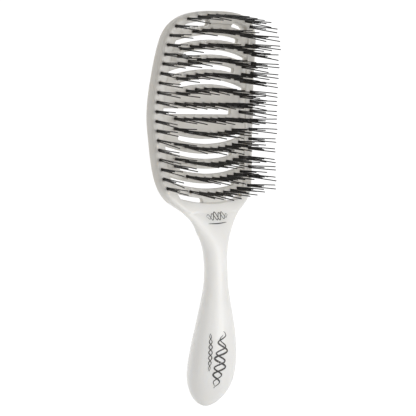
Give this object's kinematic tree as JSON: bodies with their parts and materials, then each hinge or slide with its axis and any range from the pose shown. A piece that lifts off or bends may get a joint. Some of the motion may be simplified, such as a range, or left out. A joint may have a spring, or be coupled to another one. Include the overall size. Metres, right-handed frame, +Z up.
{
  "type": "vented paddle hair brush",
  "caption": "Vented paddle hair brush of white matte plastic with a saddle-curved head, a round moulded grip and rows of folded black nylon bristles.",
  "frame": {"origin": "on the ground plane, under the centre of the bounding box, with the brush lying on its back", "axes": "+X across the brush, +Y along it towards the tip, +Z up, the way the bristles point"},
  "size_m": [0.0817, 0.24, 0.0456],
  "materials": {
    "body_plastic": "matte",
    "bristle_nylon": "satin",
    "anchor_wire": "satin"
  },
  "bodies": {
    "brush": {"brush_body": "body_plastic", "anchors_row_01": "anchor_wire", "anchors_row_02": "anchor_wire", "anchors_row_03": "anchor_wire", "anchors_row_04": "anchor_wire", "anchors_row_05": "anchor_wire", "anchors_row_06": "anchor_wire", "anchors_row_07": "anchor_wire", "anchors_row_08": "anchor_wire", "anchors_row_09": "anchor_wire", "anchors_row_10": "anchor_wire", "anchors_row_11": "anchor_wire", "anchors_row_12": "anchor_wire", "anchors_row_13": "anchor_wire"},
    "bristles_01": {"tufts_row_01": "bristle_nylon"},
    "bristles_02": {"tufts_row_02": "bristle_nylon"},
    "bristles_03": {"tufts_row_03": "bristle_nylon"},
    "bristles_04": {"tufts_row_04": "bristle_nylon"},
    "bristles_05": {"tufts_row_05": "bristle_nylon"},
    "bristles_06": {"tufts_row_06": "bristle_nylon"},
    "bristles_07": {"tufts_row_07": "bristle_nylon"},
    "bristles_08": {"tufts_row_08": "bristle_nylon"},
    "bristles_09": {"tufts_row_09": "bristle_nylon"},
    "bristles_10": {"tufts_row_10": "bristle_nylon"},
    "bristles_11": {"tufts_row_11": "bristle_nylon"},
    "bristles_12": {"tufts_row_12": "bristle_nylon"},
    "bristles_13": {"tufts_row_13": "bristle_nylon"}
  },
  "joints": [
    {"name": "row_01_flex", "type": "hinge", "parent": "brush", "child": "bristles_01", "pos_m": [0, 0.1173, 0.02325], "axis": [1, 0, 0], "range_deg": [-10, 10], "stiffness_Nm_per_rad": 0.0115, "deforming": ["tufts_row_01"]},
    {"name": "row_02_flex", "type": "hinge", "parent": "brush", "child": "bristles_02", "pos_m": [0, 0.10867, 0.0192], "axis": [1, 0, 0], "range_deg": [-10, 10], "stiffness_Nm_per_rad": 0.0138, "deforming": ["tufts_row_02"]},
    {"name": "row_03_flex", "type": "hinge", "parent": "brush", "child": "bristles_03", "pos_m": [0, 0.09993, 0.0167], "axis": [1, 0, 0], "range_deg": [-10, 10], "stiffness_Nm_per_rad": 0.0149, "deforming": ["tufts_row_03"]},
    {"name": "row_04_flex", "type": "hinge", "parent": "brush", "child": "bristles_04", "pos_m": [0, 0.09108, 0.01458], "axis": [1, 0, 0], "range_deg": [-10, 10], "stiffness_Nm_per_rad": 0.0149, "deforming": ["tufts_row_04"]},
    {"name": "row_05_flex", "type": "hinge", "parent": "brush", "child": "bristles_05", "pos_m": [0, 0.08215, 0.01286], "axis": [1, 0, 0], "range_deg": [-10, 10], "stiffness_Nm_per_rad": 0.0149, "deforming": ["tufts_row_05"]},
    {"name": "row_06_flex", "type": "hinge", "parent": "brush", "child": "bristles_06", "pos_m": [0, 0.07315, 0.01153], "axis": [1, 0, 0], "range_deg": [-10, 10], "stiffness_Nm_per_rad": 0.0115, "deforming": ["tufts_row_06"]},
    {"name": "row_07_flex", "type": "hinge", "parent": "brush", "child": "bristles_07", "pos_m": [0, 0.0641, 0.0106], "axis": [1, 0, 0], "range_deg": [-10, 10], "stiffness_Nm_per_rad": 0.0138, "deforming": ["tufts_row_07"]},
    {"name": "row_08_flex", "type": "hinge", "parent": "brush", "child": "bristles_08", "pos_m": [0, 0.05502, 0.01006], "axis": [1, 0, 0], "range_deg": [-10, 10], "stiffness_Nm_per_rad": 0.0126, "deforming": ["tufts_row_08"]},
    {"name": "row_09_flex", "type": "hinge", "parent": "brush", "child": "bristles_09", "pos_m": [0, 0.04592, 0.00992], "axis": [1, 0, 0], "range_deg": [-10, 10], "stiffness_Nm_per_rad": 0.0115, "deforming": ["tufts_row_09"]},
    {"name": "row_10_flex", "type": "hinge", "parent": "brush", "child": "bristles_10", "pos_m": [0, 0.03682, 0.01019], "axis": [1, 0, 0], "range_deg": [-10, 10], "stiffness_Nm_per_rad": 0.0138, "deforming": ["tufts_row_10"]},
    {"name": "row_11_flex", "type": "hinge", "parent": "brush", "child": "bristles_11", "pos_m": [0, 0.02775, 0.01086], "axis": [1, 0, 0], "range_deg": [-10, 10], "stiffness_Nm_per_rad": 0.0161, "deforming": ["tufts_row_11"]},
    {"name": "row_12_flex", "type": "hinge", "parent": "brush", "child": "bristles_12", "pos_m": [0, 0.01871, 0.01192], "axis": [1, 0, 0], "range_deg": [-10, 10], "stiffness_Nm_per_rad": 0.0115, "deforming": ["tufts_row_12"]},
    {"name": "row_13_flex", "type": "hinge", "parent": "brush", "child": "bristles_13", "pos_m": [0, 0.00973, 0.01338], "axis": [1, 0, 0], "range_deg": [-10, 10], "stiffness_Nm_per_rad": 0.0126, "deforming": ["tufts_row_13"]}
  ]
}
